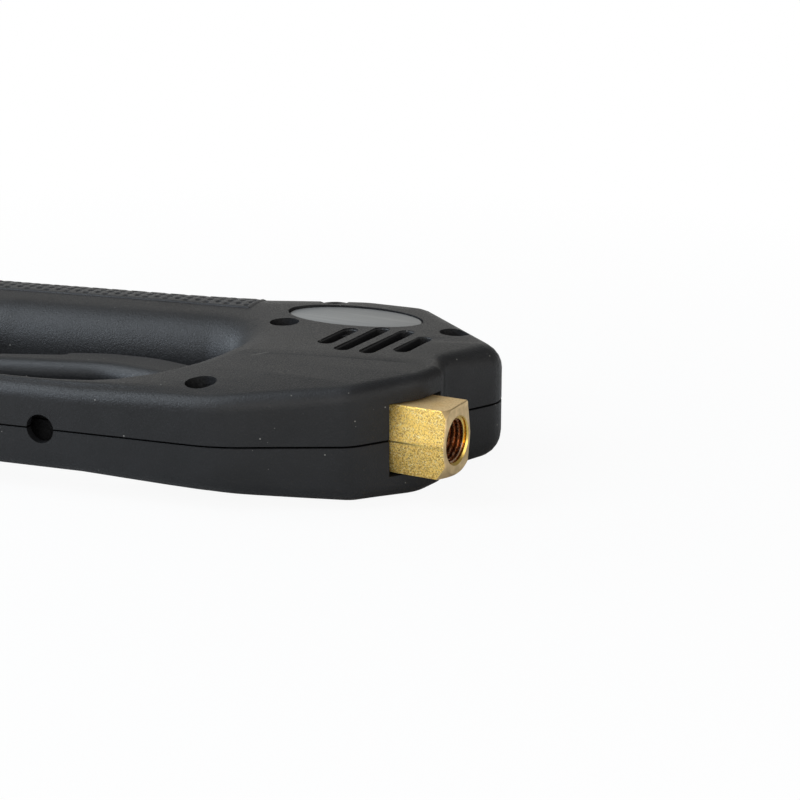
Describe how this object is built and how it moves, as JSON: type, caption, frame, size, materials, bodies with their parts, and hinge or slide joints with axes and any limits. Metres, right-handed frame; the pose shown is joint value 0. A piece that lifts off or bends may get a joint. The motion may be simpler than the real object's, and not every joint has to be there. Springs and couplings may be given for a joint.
{
  "type": "pressure washer trigger gun",
  "caption": "Clamshell trigger gun with a closed D handle: lever trigger with safety catch, push-stem ball valve in a forged brass body, threaded outlet and rear inlet.",
  "frame": {"origin": "centre of the outlet thread's mouth, on the flat end face of the forged brass block", "axes": "+X along the outlet, out of its mouth; +Y from the finger guard towards the back of the grip; +Z across the housing, square to the seam, which is at Z = 0"},
  "size_m": [0.2196, 0.1199, 0.0336],
  "materials": {
    "housing_plastic": "fine moulded grain, matt",
    "trigger_plastic": "smooth moulded, satin",
    "catch_plastic": "smooth moulded, satin",
    "screw_steel": "blackened zinc",
    "plate_metal": "satin, blank",
    "steel": "ground",
    "spring_steel": "drawn wire",
    "forged_brass": "hot forged, grit blasted, mouth face turned",
    "turned_brass": "turned",
    "copper": "soft copper",
    "seal_rubber": "nitrile",
    "ptfe": "white"
  },
  "bodies": {
    "housing": {"left_housing": "housing_plastic", "right_housing": "housing_plastic", "housing_screws": "screw_steel", "left_nameplate": "plate_metal", "right_nameplate": "plate_metal", "trigger_pivot_pin": "steel", "valve_body": "forged_brass", "valve_seat": "steel", "seat_o_ring": "seal_rubber", "valve_spring": "spring_steel", "valve_plug": "turned_brass", "plug_washer": "copper", "stem_seal": "seal_rubber", "backup_ring": "ptfe", "gland_screw": "turned_brass", "inlet_tube": "steel", "tube_o_ring": "seal_rubber", "inlet_fitting": "turned_brass", "fitting_o_ring": "seal_rubber"},
    "trigger": {"trigger": "trigger_plastic", "safety_catch_pin": "steel"},
    "safety_catch": {"safety_catch": "catch_plastic"},
    "push_stem": {"push_stem": "steel"},
    "valve_ball": {"valve_ball": "steel"}
  },
  "joints": [
    {"name": "trigger_pull", "type": "hinge", "parent": "housing", "child": "trigger", "pos_m": [-0.039, -0.0165, 0], "axis": [0, 0, -1], "range_deg": [0, 9], "stiffness_Nm_per_rad": 2},
    {"name": "safety_catch_turn", "type": "hinge", "parent": "trigger", "child": "safety_catch", "pos_m": [-0.1273, -0.0088, 0], "axis": [0, 0, -1], "range_deg": [0, 18]},
    {"name": "stem_push", "type": "slide", "parent": "housing", "child": "push_stem", "axis": [0, 1, 0], "range_m": [0, 0.002]},
    {"name": "ball_lift", "type": "slide", "parent": "housing", "child": "valve_ball", "axis": [0, 1, 0], "range_m": [0, 0.002], "deforming": ["valve_spring"]}
  ],
  "couplings": [
    {"joint": "stem_push", "follows": "trigger_pull", "m_per_rad": 0.0126},
    {"joint": "ball_lift", "follows": "trigger_pull", "m_per_rad": 0.0126}
  ]
}
